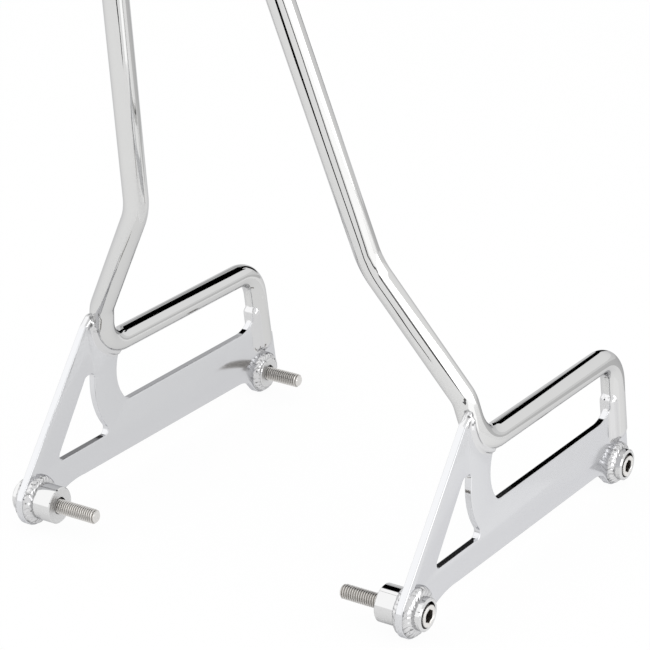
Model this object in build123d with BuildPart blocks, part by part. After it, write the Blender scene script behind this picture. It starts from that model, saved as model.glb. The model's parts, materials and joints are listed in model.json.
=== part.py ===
from build123d import *
import os
from math import cos, radians, sin, sqrt, tan

# Chromed sissy bar for a motorcycle: a hoop of bent round bar welded to two flat side plates.
# Each plate carries two weld-in bungs, and a socket-head screw in each bung bolts it to a fender strut.
# Frame: origin midway between the two rear screws, on their axis. +X is the rider's right,
# +Y runs forward along the grab rails and +Z is up. All sizes are in millimetres and degrees.

# Round bar and the hoop bent from it
bar_dia = 15.875
rail_height = 78.8
rail_front_y = 249.6
rail_rear_y = 74.0
front_bend_r = 25.0
rear_bend_r = 28.0
leg_rake = 12.4
leg_foot_z = 22.0
flare_inset = 6.1
flare_y = 65.9
flare_rise = 32.2
flare_bend_r = 25.0
recline = 19.1
knee_height = 195.0
knee_half_width = 84.0
knee_bend_r = 60.0
top_height = 430.0
top_half_width = 46.4
top_bend_r = 48.0

# Side plates
plate_spacing = 279.4
plate_thickness = 4.76
lobe_r = 17.0
front_bolt_y = 261.5
front_bolt_z = -2.0
front_lobe_r = 16.2
front_lobe_forward = 0.75
front_lobe_raise = 0.9
bottom_edge_z = -2.3
rear_blend_r = 60.0
front_blend_r = 23.0
post_rake = 36.5
post_rise = 22.2

# Cut-outs of the plates: the large opening under the rail and the triangle behind the curved strut
opening_floor_z = 34.5
opening_arc_y = 117.4
opening_arc_share = 0.553
opening_arc_r = 31.0
opening_rear_r = 8.0
opening_front_r = 20.0
opening_tuck = 2.0
strut_width = 24.0
triangle_floor_z = 17.2
triangle_drop = 12.8
triangle_top_width = 10.0
post_foot_width = 28.3
triangle_corner_r = 4.0

# Weld-in bungs
boss_dia = 21.0
boss_proud = 8.5
boss_chamfer = 0.8
spacer_dia = 24.0
rear_spacer_length = 17.5
front_stub_length = 5.0
inner_chamfer = 0.6
bung_bore_dia = 11.0
counterbore_dia = 16.6
counterbore_depth = 8.7

# Socket-head screws
screw_dia = 9.525
tip_chamfer = 0.9
runout_dia = 8.0
runout_width = 3.0
runout_showing = 0.8
head_dia = 14.3
head_height = 9.525
head_round = 0.8
socket_flats = 7.94
socket_depth = 4.8
rear_screw_length = 50.8
front_screw_length = 34.9

# Weld beads
ring_weld_leg = 4.2
ring_weld_margin = 0.8
ring_weld_bulge = 0.35
bead_r = 3.4
bead_overrun = 1.7
leg_bead_rise = 14.0

# Places worked out from the sizes above
plate_x = plate_spacing / 2
inner_face_x = plate_x - plate_thickness / 2
outer_face_x = plate_x + plate_thickness / 2
boss_face_x = outer_face_x + boss_proud
seat_x = boss_face_x - counterbore_depth
flare_height = rail_height + flare_rise
post_top_z = rail_height + post_rise
triangle_top_z = rail_height - triangle_drop
opening_arc_z = opening_floor_z + opening_arc_share * (rail_height - opening_floor_z)
leg_bead_top_z = opening_floor_z + leg_bead_rise
front_lobe_y = front_bolt_y + front_lobe_forward
front_lobe_z = front_bolt_z + front_lobe_raise
rear_weld_r = lobe_r - ring_weld_margin
front_weld_r = front_lobe_r - front_lobe_forward - front_lobe_raise / 2 - ring_weld_margin
leg_sin = sin(radians(leg_rake))
leg_cos = cos(radians(leg_rake))
leg_up = Vector(0, -leg_sin, leg_cos)
leg_side = Vector(0, -leg_cos, -leg_sin)
flare_lean = (flare_y - rail_rear_y) / flare_rise
recline_slope = tan(radians(recline))


def hoop_y(height: float) -> float:
    """Y of the reclined plane that holds the uprights, at a height."""
    return flare_y - (height - flare_height) * recline_slope


def leg_y(height: float) -> float:
    """Y of the front leg's centreline at a height."""
    return rail_front_y + (rail_height - height) * leg_sin / leg_cos


# Right half of the hoop's route, from the front leg's foot to the top corner
leg_foot = Vector(plate_x, leg_y(leg_foot_z), leg_foot_z)
rail_front = Vector(plate_x, rail_front_y, rail_height)
rail_rear = Vector(plate_x, rail_rear_y, rail_height)
flare = Vector(plate_x - flare_inset, flare_y, flare_height)
knee = Vector(knee_half_width, hoop_y(knee_height), knee_height)
top_corner = Vector(top_half_width, hoop_y(top_height), top_height)
right_route = [leg_foot, rail_front, rail_rear, flare, knee, top_corner]
left_route = [Vector(-point.X, point.Y, point.Z) for point in reversed(right_route)]
right_radii = [front_bend_r, rear_bend_r, flare_bend_r, knee_bend_r, top_bend_r]

with BuildPart() as hoop:
    with BuildLine() as hoop_route:
        FilletPolyline(*right_route, *left_route, radius=right_radii + right_radii[::-1])
    with BuildSketch(Plane(origin=leg_foot, z_dir=leg_up)):
        Circle(bar_dia / 2)
    sweep()

hoop_bends = hoop_route.edges().filter_by(GeomType.CIRCLE)
rear_bend = hoop_bends.sort_by_distance(rail_rear)[0]
rear_bend_middle = rear_bend @ 0.5

# Outline of a plate, in Y and Z
rake_sin = sin(radians(post_rake))
rake_cos = cos(radians(post_rake))
rear_lobe_start = (-lobe_r * rake_cos, lobe_r * rake_sin)
post_top_rear = ((post_top_z * rake_sin - lobe_r) / rake_cos, post_top_z)
post_top_front = (rail_rear_y + flare_lean * post_rise, post_top_z)
front_lobe_end = Vector(plate_x, front_lobe_y + front_lobe_r * leg_cos, front_lobe_z + front_lobe_r * leg_sin)
front_step = front_lobe_end + leg_up * (leg_foot - front_lobe_end).dot(leg_up)


def blend_points(lobe_y: float, lobe_z: float, radius: float, blend_r: float, side: int) -> list[tuple[float, float]]:
    """Ends of the hollow blend between the bottom edge and a lobe: on the edge and on the lobe."""
    drop = bottom_edge_z - blend_r - lobe_z
    reach = sqrt((radius + blend_r) ** 2 - drop ** 2)
    share = radius / (radius + blend_r)
    on_edge = (lobe_y + side * reach, bottom_edge_z)
    on_lobe = (lobe_y + side * reach * share, lobe_z + drop * share)
    return [on_edge, on_lobe]


rear_on_edge, rear_on_lobe = blend_points(0, 0, lobe_r, rear_blend_r, 1)
front_on_edge, front_on_lobe = blend_points(front_lobe_y, front_lobe_z, front_lobe_r, front_blend_r, -1)

# Corners of the cut-outs
opening_top_y = opening_arc_y - sqrt(opening_arc_r ** 2 - (rail_height - opening_arc_z) ** 2)
opening_floor_y = opening_arc_y - sqrt(opening_arc_r ** 2 - (opening_arc_z - opening_floor_z) ** 2)
triangle_arc_r = opening_arc_r + strut_width
triangle_foot_y = (triangle_floor_z * rake_sin - lobe_r) / rake_cos + post_foot_width


def strut_arc_y(height: float) -> float:
    """Y of the triangle's curved front side at a height."""
    return opening_arc_y - sqrt(triangle_arc_r ** 2 - (height - opening_arc_z) ** 2)


plate_plane = Plane(origin=(inner_face_x, 0, 0), x_dir=(0, 1, 0), z_dir=(1, 0, 0))

with BuildPart() as plate:
    with BuildSketch(plate_plane):
        with BuildLine():
            rear_edge = Line(post_top_rear, rear_lobe_start)
            rear_lobe = TangentArc(rear_edge @ 1, rear_on_lobe, tangent=rear_edge % 1)
            rear_blend = TangentArc(rear_lobe @ 1, rear_on_edge, tangent=rear_lobe % 1)
            bottom_edge = Line(rear_blend @ 1, front_on_edge)
            front_blend = TangentArc(bottom_edge @ 1, front_on_lobe, tangent=bottom_edge % 1)
            front_lobe = TangentArc(
                front_blend @ 1, (front_lobe_end.Y, front_lobe_end.Z), tangent=front_blend % 1
            )
            front_edge = Line(front_lobe @ 1, (front_step.Y, front_step.Z))
            Polyline(
                front_edge @ 1,
                (leg_foot.Y, leg_foot.Z),
                (leg_y(opening_arc_z), opening_arc_z),
                (opening_arc_y, rail_height),
                (rear_bend_middle.Y, rear_bend_middle.Z),
                post_top_front,
                post_top_rear,
            )
        make_face()
        with Locations((0, 0)):
            Circle(boss_dia / 2, mode=Mode.SUBTRACT)
        with Locations((front_bolt_y, front_bolt_z)):
            Circle(boss_dia / 2, mode=Mode.SUBTRACT)
    extrude(amount=plate_thickness)
    with BuildSketch(plate_plane) as opening:
        with BuildLine():
            opening_rear = ThreePointArc(
                (opening_top_y, rail_height),
                (opening_arc_y - opening_arc_r, opening_arc_z),
                (opening_floor_y, opening_floor_z),
            )
            Polyline(
                opening_rear @ 1,
                (leg_y(opening_floor_z) - opening_tuck, opening_floor_z),
                (leg_y(rail_height) - opening_tuck, rail_height),
                opening_rear @ 0,
            )
        make_face()
        fillet(opening.vertices().group_by(Axis.Y)[0].sort_by(Axis.X)[0], opening_rear_r)
        fillet(opening.vertices().group_by(Axis.Y)[0].sort_by(Axis.X)[-1], opening_front_r)
    extrude(amount=plate_thickness, mode=Mode.SUBTRACT)
    with BuildSketch(plate_plane) as triangle:
        with BuildLine():
            triangle_front = ThreePointArc(
                (strut_arc_y(triangle_floor_z), triangle_floor_z),
                (strut_arc_y(opening_floor_z), opening_floor_z),
                (strut_arc_y(triangle_top_z), triangle_top_z),
            )
            Polyline(
                triangle_front @ 1,
                (strut_arc_y(triangle_top_z) - triangle_top_width, triangle_top_z),
                (triangle_foot_y, triangle_floor_z),
                triangle_front @ 0,
            )
        make_face()
        fillet(triangle.vertices(), triangle_corner_r)
    extrude(amount=plate_thickness, mode=Mode.SUBTRACT)
    # The post and the front ear are coped to the bar
    add(hoop.part, mode=Mode.SUBTRACT)


def across_plane(x: float, bolt_y: float, bolt_z: float) -> Plane:
    """Plane square to a screw's axis, facing outward, at a distance from the middle of the object."""
    return Plane(origin=(x, bolt_y, bolt_z), x_dir=(0, 1, 0), z_dir=(1, 0, 0))


def screw_plane(bolt_y: float, bolt_z: float) -> Plane:
    """Plane with its own X pointing outward along a screw's axis and its own Y pointing up."""
    return Plane(origin=(0, bolt_y, bolt_z), x_dir=(1, 0, 0), z_dir=(0, -1, 0))


def make_bung(bolt_y: float, bolt_z: float, inner_dia: float, inner_length: float) -> Part:
    """Turned bung through the plate, bored for the screw and counterbored for its head."""
    with BuildPart() as bung:
        with BuildSketch(across_plane(inner_face_x, bolt_y, bolt_z)):
            Circle(inner_dia / 2)
        extrude(amount=-inner_length)
        inner_rim = bung.faces().sort_by(Axis.X)[0].edges()
        chamfer(inner_rim, inner_chamfer)
        with BuildSketch(across_plane(inner_face_x, bolt_y, bolt_z)):
            Circle(boss_dia / 2)
        extrude(amount=plate_thickness + boss_proud)
        boss_rim = bung.faces().sort_by(Axis.X)[-1].edges()
        chamfer(boss_rim, boss_chamfer)
        with Locations(across_plane(boss_face_x, bolt_y, bolt_z)):
            CounterBoreHole(bung_bore_dia / 2, counterbore_dia / 2, counterbore_depth)
    return bung.part


def make_screw(bolt_y: float, bolt_z: float, inner_length: float, length: float) -> Part:
    """Socket-head cap screw, its head on the counterbore's seat and its threaded end free of the bung."""
    tip_x = seat_x - length
    runout_x = inner_face_x - inner_length - runout_showing
    head_x = seat_x + head_height
    with BuildPart() as screw:
        with BuildSketch(screw_plane(bolt_y, bolt_z)):
            with BuildLine():
                Polyline(
                    (tip_x, 0),
                    (tip_x, screw_dia / 2 - tip_chamfer),
                    (tip_x + tip_chamfer, screw_dia / 2),
                    (runout_x, screw_dia / 2),
                    (runout_x, runout_dia / 2),
                    (runout_x + runout_width, runout_dia / 2),
                    (runout_x + runout_width, screw_dia / 2),
                    (seat_x, screw_dia / 2),
                    (seat_x, head_dia / 2),
                    (head_x - head_round, head_dia / 2),
                    (head_x, head_dia / 2 - head_round),
                    (head_x, 0),
                    close=True,
                )
            make_face()
        revolve(axis=Axis((0, bolt_y, bolt_z), (1, 0, 0)))
        with BuildSketch(across_plane(head_x, bolt_y, bolt_z)):
            RegularPolygon(socket_flats / 2, 6, major_radius=False)
        extrude(amount=-socket_depth, mode=Mode.SUBTRACT)
    return screw.part


def make_ring_weld(
    bolt_y: float, bolt_z: float, face_x: float, outward: int, core_dia: float, edge_r: float
) -> Part:
    """Fillet weld round a bung, between a face of the plate and the bung's side."""
    core_r = core_dia / 2
    bulge_share = (1 + ring_weld_bulge) / 2
    with BuildPart() as ring:
        with BuildSketch(screw_plane(bolt_y, bolt_z)):
            with BuildLine():
                Polyline(
                    (face_x + outward * ring_weld_leg, core_r),
                    (face_x, core_r),
                    (face_x, edge_r),
                )
                ThreePointArc(
                    (face_x, edge_r),
                    (face_x + outward * ring_weld_leg * bulge_share, core_r + (edge_r - core_r) * bulge_share),
                    (face_x + outward * ring_weld_leg, core_r),
                )
            make_face()
        revolve(axis=Axis((0, bolt_y, bolt_z), (1, 0, 0)))
    return ring.part


# The beads run where the bar meets the plate's faces, half a chord of the bar from its centreline
chord_half = sqrt((bar_dia / 2) ** 2 - (plate_thickness / 2) ** 2)
bend_turn = (flare - rail_rear).get_angle(rail_rear - rail_front)
cope_corner_y = rail_rear_y - chord_half * tan(radians(bend_turn / 2))
cope_top_y = cope_corner_y + flare_lean * (post_rise + chord_half)
bead_span = plate_thickness + 4 * bead_r

with BuildPart() as post_weld:
    for face_x in (inner_face_x, outer_face_x):
        cope_start = Vector(face_x, opening_arc_y, rail_height - chord_half)
        cope_corner = Vector(face_x, cope_corner_y, rail_height - chord_half)
        cope_top = Vector(face_x, cope_top_y, post_top_z)
        with BuildLine() as cope_line:
            FilletPolyline(cope_start, cope_corner, cope_top, radius=rear_bend_r + chord_half)
        with BuildSketch(Plane(origin=cope_start, z_dir=(0, -1, 0))):
            Circle(bead_r)
        sweep()
        with Locations(cope_top):
            Sphere(bead_r)
    # A cap closes the beads over the top of the post, back to its rear corner
    cap_start = Vector(plate_x, post_top_rear[0] + bead_overrun, post_top_z)
    with BuildSketch(Plane(origin=cap_start, z_dir=(0, 1, 0))):
        Circle(bead_r)
    extrude(amount=cope_top_y - cap_start.Y)
    with Locations(cap_start):
        Sphere(bead_r)
    # The beads stop just past the opening's rear side
    with Locations(Location((plate_x, opening_arc_y, opening_arc_z), (0, 90, 0))):
        Cylinder(opening_arc_r - bead_overrun, bead_span, mode=Mode.SUBTRACT)
    add(plate.part, mode=Mode.SUBTRACT)
    add(hoop.part, mode=Mode.SUBTRACT)

# The leg's bead runs down behind the leg and under its foot
leg_bead_length = (leg_bead_top_z - leg_foot_z) / leg_cos

with BuildPart() as leg_weld:
    for face_x in (inner_face_x, outer_face_x):
        foot = Vector(face_x, leg_foot.Y, leg_foot.Z)
        leg_bead_top = foot + leg_side * chord_half + leg_up * leg_bead_length
        leg_bead_corner = foot + leg_side * chord_half
        with BuildLine() as leg_bead_line:
            FilletPolyline(leg_bead_top, leg_bead_corner, foot, radius=bead_r)
        with BuildSketch(Plane(origin=leg_bead_top, z_dir=leg_up * -1)):
            Circle(bead_r)
        sweep()
        with Locations(leg_bead_top, foot):
            Sphere(bead_r)
    add(plate.part, mode=Mode.SUBTRACT)
    add(hoop.part, mode=Mode.SUBTRACT)

# Right-hand pieces, which are then mirrored to the left
right_pieces = {
    "plate": plate.part,
    "post_weld": post_weld.part,
    "leg_weld": leg_weld.part,
}
ends = {
    "rear": (0.0, 0.0, spacer_dia, rear_spacer_length, rear_screw_length, rear_weld_r),
    "front": (front_bolt_y, front_bolt_z, boss_dia, front_stub_length, front_screw_length, front_weld_r),
}
for end, (bolt_y, bolt_z, inner_dia, inner_length, screw_length, weld_r) in ends.items():
    right_pieces[f"bung_{end}"] = make_bung(bolt_y, bolt_z, inner_dia, inner_length)
    right_pieces[f"screw_{end}"] = make_screw(bolt_y, bolt_z, inner_length, screw_length)
    right_pieces[f"ring_weld_{end}_inner"] = make_ring_weld(
        bolt_y, bolt_z, inner_face_x, -1, inner_dia, weld_r
    )
    right_pieces[f"ring_weld_{end}_outer"] = make_ring_weld(
        bolt_y, bolt_z, outer_face_x, 1, boss_dia, weld_r
    )

os.makedirs("parts", exist_ok=True)
hoop.part.label = "hoop"
export_step(hoop.part, "parts/hoop.step")
for name, piece in right_pieces.items():
    with BuildPart() as right_piece:
        add(piece)
    with BuildPart() as left_piece:
        mirror(piece, about=Plane.YZ)
    for side, half in (("right", right_piece), ("left", left_piece)):
        half.part.label = f"{name}_{side}"
        export_step(half.part, f"parts/{name}_{side}.step")
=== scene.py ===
"""Chromed motorcycle sissy bar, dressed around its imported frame.

The bent hoop, the cut-out side plates, the welded bungs, the socket-head screws and the weld beads
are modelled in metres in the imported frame: the origin lies midway between the two rear screws,
+X is the rider's right, +Y runs forward along the grab rails and +Z is up.
"""

from __future__ import annotations

import json
import logging
from collections.abc import Iterable
from dataclasses import dataclass, field
from enum import Enum
from math import atan2, ceil, cos, pi, radians, sin, sqrt, tan, tau

import bmesh
import bpy
from bmesh.types import BMEdge, BMesh, BMFace, BMVert
from mathutils import Matrix, Vector, noise

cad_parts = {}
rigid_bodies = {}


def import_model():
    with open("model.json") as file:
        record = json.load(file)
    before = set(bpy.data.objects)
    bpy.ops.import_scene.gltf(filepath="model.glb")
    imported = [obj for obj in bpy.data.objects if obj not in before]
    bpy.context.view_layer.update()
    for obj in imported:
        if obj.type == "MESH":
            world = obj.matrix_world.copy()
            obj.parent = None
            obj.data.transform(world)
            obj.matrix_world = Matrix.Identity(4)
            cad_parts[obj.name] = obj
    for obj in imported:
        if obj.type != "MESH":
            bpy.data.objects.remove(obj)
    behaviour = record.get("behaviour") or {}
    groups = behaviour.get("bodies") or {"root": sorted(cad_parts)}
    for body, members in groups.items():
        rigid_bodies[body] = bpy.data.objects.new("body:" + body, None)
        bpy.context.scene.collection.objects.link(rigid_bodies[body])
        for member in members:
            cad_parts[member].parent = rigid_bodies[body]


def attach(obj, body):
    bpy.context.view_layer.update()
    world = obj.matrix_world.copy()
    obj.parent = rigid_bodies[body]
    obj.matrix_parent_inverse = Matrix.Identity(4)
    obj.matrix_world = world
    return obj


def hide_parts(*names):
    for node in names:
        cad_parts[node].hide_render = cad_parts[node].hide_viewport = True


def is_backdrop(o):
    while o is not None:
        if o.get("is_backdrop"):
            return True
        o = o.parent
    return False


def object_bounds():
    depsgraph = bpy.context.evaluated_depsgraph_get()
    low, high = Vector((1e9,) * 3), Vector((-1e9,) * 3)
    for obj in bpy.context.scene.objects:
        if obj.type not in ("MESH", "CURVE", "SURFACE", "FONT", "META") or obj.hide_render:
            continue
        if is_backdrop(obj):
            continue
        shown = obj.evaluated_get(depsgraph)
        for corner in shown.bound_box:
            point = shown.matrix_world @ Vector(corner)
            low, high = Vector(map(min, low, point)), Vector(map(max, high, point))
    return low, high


LOG = logging.getLogger("sissy_bar")
MM = 0.001
BODY = "root"
ACROSS = Vector((1.0, 0.0, 0.0))
FORWARD = Vector((0.0, 1.0, 0.0))
UP = Vector((0.0, 0.0, 1.0))
WHITE = (1.0, 1.0, 1.0, 1.0)

# Vertices closer than this count as one, and vertices this near a cutting plane lie on it.
TOUCH = 1e-6
ON_PLANE = 1e-7

# Crease angles in degrees: a mesh without creases, and the panels of the studio.
NO_CREASE = 180.0
PANEL_CREASE = 30.0


class Side(Enum):
    """The rider's side on which a piece sits."""

    RIGHT = "right"
    LEFT = "left"


class End(Enum):
    """The end of a side plate at which a bung sits."""

    REAR = "rear"
    FRONT = "front"


class Face(Enum):
    """The face of a side plate that a bead lies on."""

    INNER = "inner"
    OUTER = "outer"


class Slot(Enum):
    """The record's material slots."""

    CHROME = "chrome"
    WELD = "weld"
    STAINLESS = "stainless"


@dataclass(frozen=True)
class ChromeFinish:
    """Bright plating with a faint waviness, a little haze and a darker rim at grazing angles."""

    name: str
    base: tuple[float, float, float]
    rim: tuple[float, float, float]
    roughness: float
    haze: float
    haze_size: float
    wave_size: float
    wave_depth: float
    cloud: float = 0.96
    haze_detail: float = 4.0
    wave_detail: float = 2.0
    mark: str = ""
    mark_roughness: float = 0.0
    # Tone of the marked areas as a share of the base colour; below 1 it is painted shade.
    painted_shade_tone: float = 1.0

    def material(self) -> bpy.types.Material:
        """Build the node material.

        A mesh attribute can mark areas with a roughness of their own, and darken them with painted
        shade.

        Returns:
            The new material.
        """
        material = bpy.data.materials.new(self.name)
        material.use_nodes = True
        nodes, links = material.node_tree.nodes, material.node_tree.links
        shader = nodes["Principled BSDF"]
        shader.inputs["Metallic"].default_value = 1.0
        shader.inputs["Specular Tint"].default_value = (*self.rim, 1.0)
        place = nodes.new("ShaderNodeTexCoord")
        haze = nodes.new("ShaderNodeTexNoise")
        haze.inputs["Scale"].default_value = 1.0 / self.haze_size
        haze.inputs["Detail"].default_value = self.haze_detail
        links.new(place.outputs["Object"], haze.inputs["Vector"])
        spread = nodes.new("ShaderNodeMapRange")
        spread.inputs["To Min"].default_value = self.roughness
        spread.inputs["To Max"].default_value = self.roughness + self.haze
        links.new(haze.outputs["Fac"], spread.inputs["Value"])
        tone = nodes.new("ShaderNodeMix")
        tone.data_type = "RGBA"
        tone.inputs["A"].default_value = (*self.base, 1.0)
        tone.inputs["B"].default_value = (*(self.cloud * c for c in self.base), 1.0)
        links.new(haze.outputs["Fac"], tone.inputs["Factor"])
        gloss, colour = spread.outputs["Result"], tone.outputs["Result"]
        if self.mark:
            where = nodes.new("ShaderNodeAttribute")
            where.attribute_name = self.mark
            marked_gloss = nodes.new("ShaderNodeMix")
            marked_gloss.inputs["B"].default_value = self.mark_roughness
            links.new(where.outputs["Fac"], marked_gloss.inputs["Factor"])
            links.new(gloss, marked_gloss.inputs["A"])
            # Painted shade: where marked, the base colour is darkened.
            painted_shade_mix = nodes.new("ShaderNodeMix")
            painted_shade_mix.data_type = "RGBA"
            painted_shade_mix.inputs["B"].default_value = (*(self.painted_shade_tone * c for c in self.base), 1.0)
            links.new(where.outputs["Fac"], painted_shade_mix.inputs["Factor"])
            links.new(colour, painted_shade_mix.inputs["A"])
            gloss, colour = marked_gloss.outputs["Result"], painted_shade_mix.outputs["Result"]
        links.new(gloss, shader.inputs["Roughness"])
        links.new(colour, shader.inputs["Base Color"])
        wave = nodes.new("ShaderNodeTexNoise")
        wave.inputs["Scale"].default_value = 1.0 / self.wave_size
        wave.inputs["Detail"].default_value = self.wave_detail
        links.new(place.outputs["Object"], wave.inputs["Vector"])
        bump = nodes.new("ShaderNodeBump")
        bump.inputs["Strength"].default_value = 1.0
        bump.inputs["Distance"].default_value = self.wave_depth
        links.new(wave.outputs["Fac"], bump.inputs["Height"])
        links.new(bump.outputs["Normal"], shader.inputs["Normal"])
        return material


@dataclass(frozen=True)
class StainlessFinish:
    """Bare stainless with turning marks round the screw, and painted shade in the thread roots and
    the socket.
    """

    name: str
    base: tuple[float, float, float]
    # Painted shade colours: the first for the thread roots, the second for the socket.
    root: tuple[float, float, float]
    pit_shade: tuple[float, float, float]
    roughness: float
    grain: float
    turning_size: float
    turning_depth: float
    turning_detail: float = 3.0
    turning_stretch: float = 0.1
    turning_strength: float = 0.6

    def material(self) -> bpy.types.Material:
        """Build the node material.

        The mesh attribute "depth" places the painted shade: 1 at the thread's roots and 2 in the
        socket.

        Returns:
            The new material.
        """
        material = bpy.data.materials.new(self.name)
        material.use_nodes = True
        nodes, links = material.node_tree.nodes, material.node_tree.links
        shader = nodes["Principled BSDF"]
        shader.inputs["Metallic"].default_value = 1.0
        # Painted shade: darker at the thread roots, darkest in the socket.
        depth = nodes.new("ShaderNodeAttribute")
        depth.attribute_name = "depth"
        tone = nodes.new("ShaderNodeMix")
        tone.data_type = "RGBA"
        tone.inputs["A"].default_value = (*self.base, 1.0)
        tone.inputs["B"].default_value = (*self.root, 1.0)
        links.new(depth.outputs["Fac"], tone.inputs["Factor"])
        beyond = nodes.new("ShaderNodeMath")
        beyond.operation = "SUBTRACT"
        beyond.use_clamp = True
        beyond.inputs[1].default_value = 1.0
        links.new(depth.outputs["Fac"], beyond.inputs[0])
        sunk = nodes.new("ShaderNodeMix")
        sunk.data_type = "RGBA"
        sunk.inputs["B"].default_value = (*self.pit_shade, 1.0)
        links.new(beyond.outputs["Value"], sunk.inputs["Factor"])
        links.new(tone.outputs["Result"], sunk.inputs["A"])
        links.new(sunk.outputs["Result"], shader.inputs["Base Color"])
        place = nodes.new("ShaderNodeTexCoord")
        squeeze = nodes.new("ShaderNodeMapping")
        squeeze.inputs["Scale"].default_value = (1.0, self.turning_stretch, self.turning_stretch)
        links.new(place.outputs["Object"], squeeze.inputs["Vector"])
        turning = nodes.new("ShaderNodeTexNoise")
        turning.inputs["Scale"].default_value = 1.0 / self.turning_size
        turning.inputs["Detail"].default_value = self.turning_detail
        links.new(squeeze.outputs["Vector"], turning.inputs["Vector"])
        spread = nodes.new("ShaderNodeMapRange")
        spread.inputs["To Min"].default_value = self.roughness
        spread.inputs["To Max"].default_value = self.roughness + self.grain
        links.new(turning.outputs["Fac"], spread.inputs["Value"])
        links.new(spread.outputs["Result"], shader.inputs["Roughness"])
        bump = nodes.new("ShaderNodeBump")
        bump.inputs["Strength"].default_value = self.turning_strength
        bump.inputs["Distance"].default_value = self.turning_depth
        links.new(turning.outputs["Fac"], bump.inputs["Height"])
        links.new(bump.outputs["Normal"], shader.inputs["Normal"])
        return material


BAR_CHROME = ChromeFinish(
    name="bar_chrome",
    base=(0.7, 0.7, 0.695),
    rim=(0.7, 0.7, 0.71),
    roughness=0.03,
    haze=0.03,
    haze_size=0.03,
    wave_size=0.05,
    wave_depth=0.00004,
)
PLATE_CHROME = ChromeFinish(
    name="plate_chrome",
    base=(0.69, 0.695, 0.71),
    rim=(0.8, 0.8, 0.82),
    roughness=0.13,
    haze=0.06,
    haze_size=0.04,
    wave_size=0.06,
    wave_depth=0.00006,
    mark="edge",
    mark_roughness=0.04,
)
BUNG_CHROME = ChromeFinish(
    name="bung_chrome",
    base=(0.7, 0.7, 0.7),
    rim=(0.7, 0.7, 0.71),
    roughness=0.03,
    haze=0.03,
    haze_size=0.01,
    wave_size=0.02,
    wave_depth=0.00002,
    mark="flat",
    mark_roughness=0.4,
)
WELD_CHROME = ChromeFinish(
    name="weld_chrome",
    base=(0.71, 0.71, 0.715),
    rim=(0.72, 0.72, 0.73),
    roughness=0.05,
    haze=0.06,
    haze_size=0.006,
    wave_size=0.006,
    wave_depth=0.00006,
    # The depth attribute places painted shade on the welds: in the creases, along the edges, in the
    # pits and in dark specks.
    mark="depth",
    mark_roughness=0.2,
    painted_shade_tone=0.25,
)
SCREW_STEEL = StainlessFinish(
    name="screw_stainless",
    base=(0.74, 0.725, 0.705),
    # Painted shade colours for the thread roots and the socket.
    root=(0.34, 0.325, 0.305),
    pit_shade=(0.09, 0.07, 0.055),
    roughness=0.22,
    grain=0.14,
    turning_size=0.0009,
    turning_depth=0.00002,
)


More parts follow.
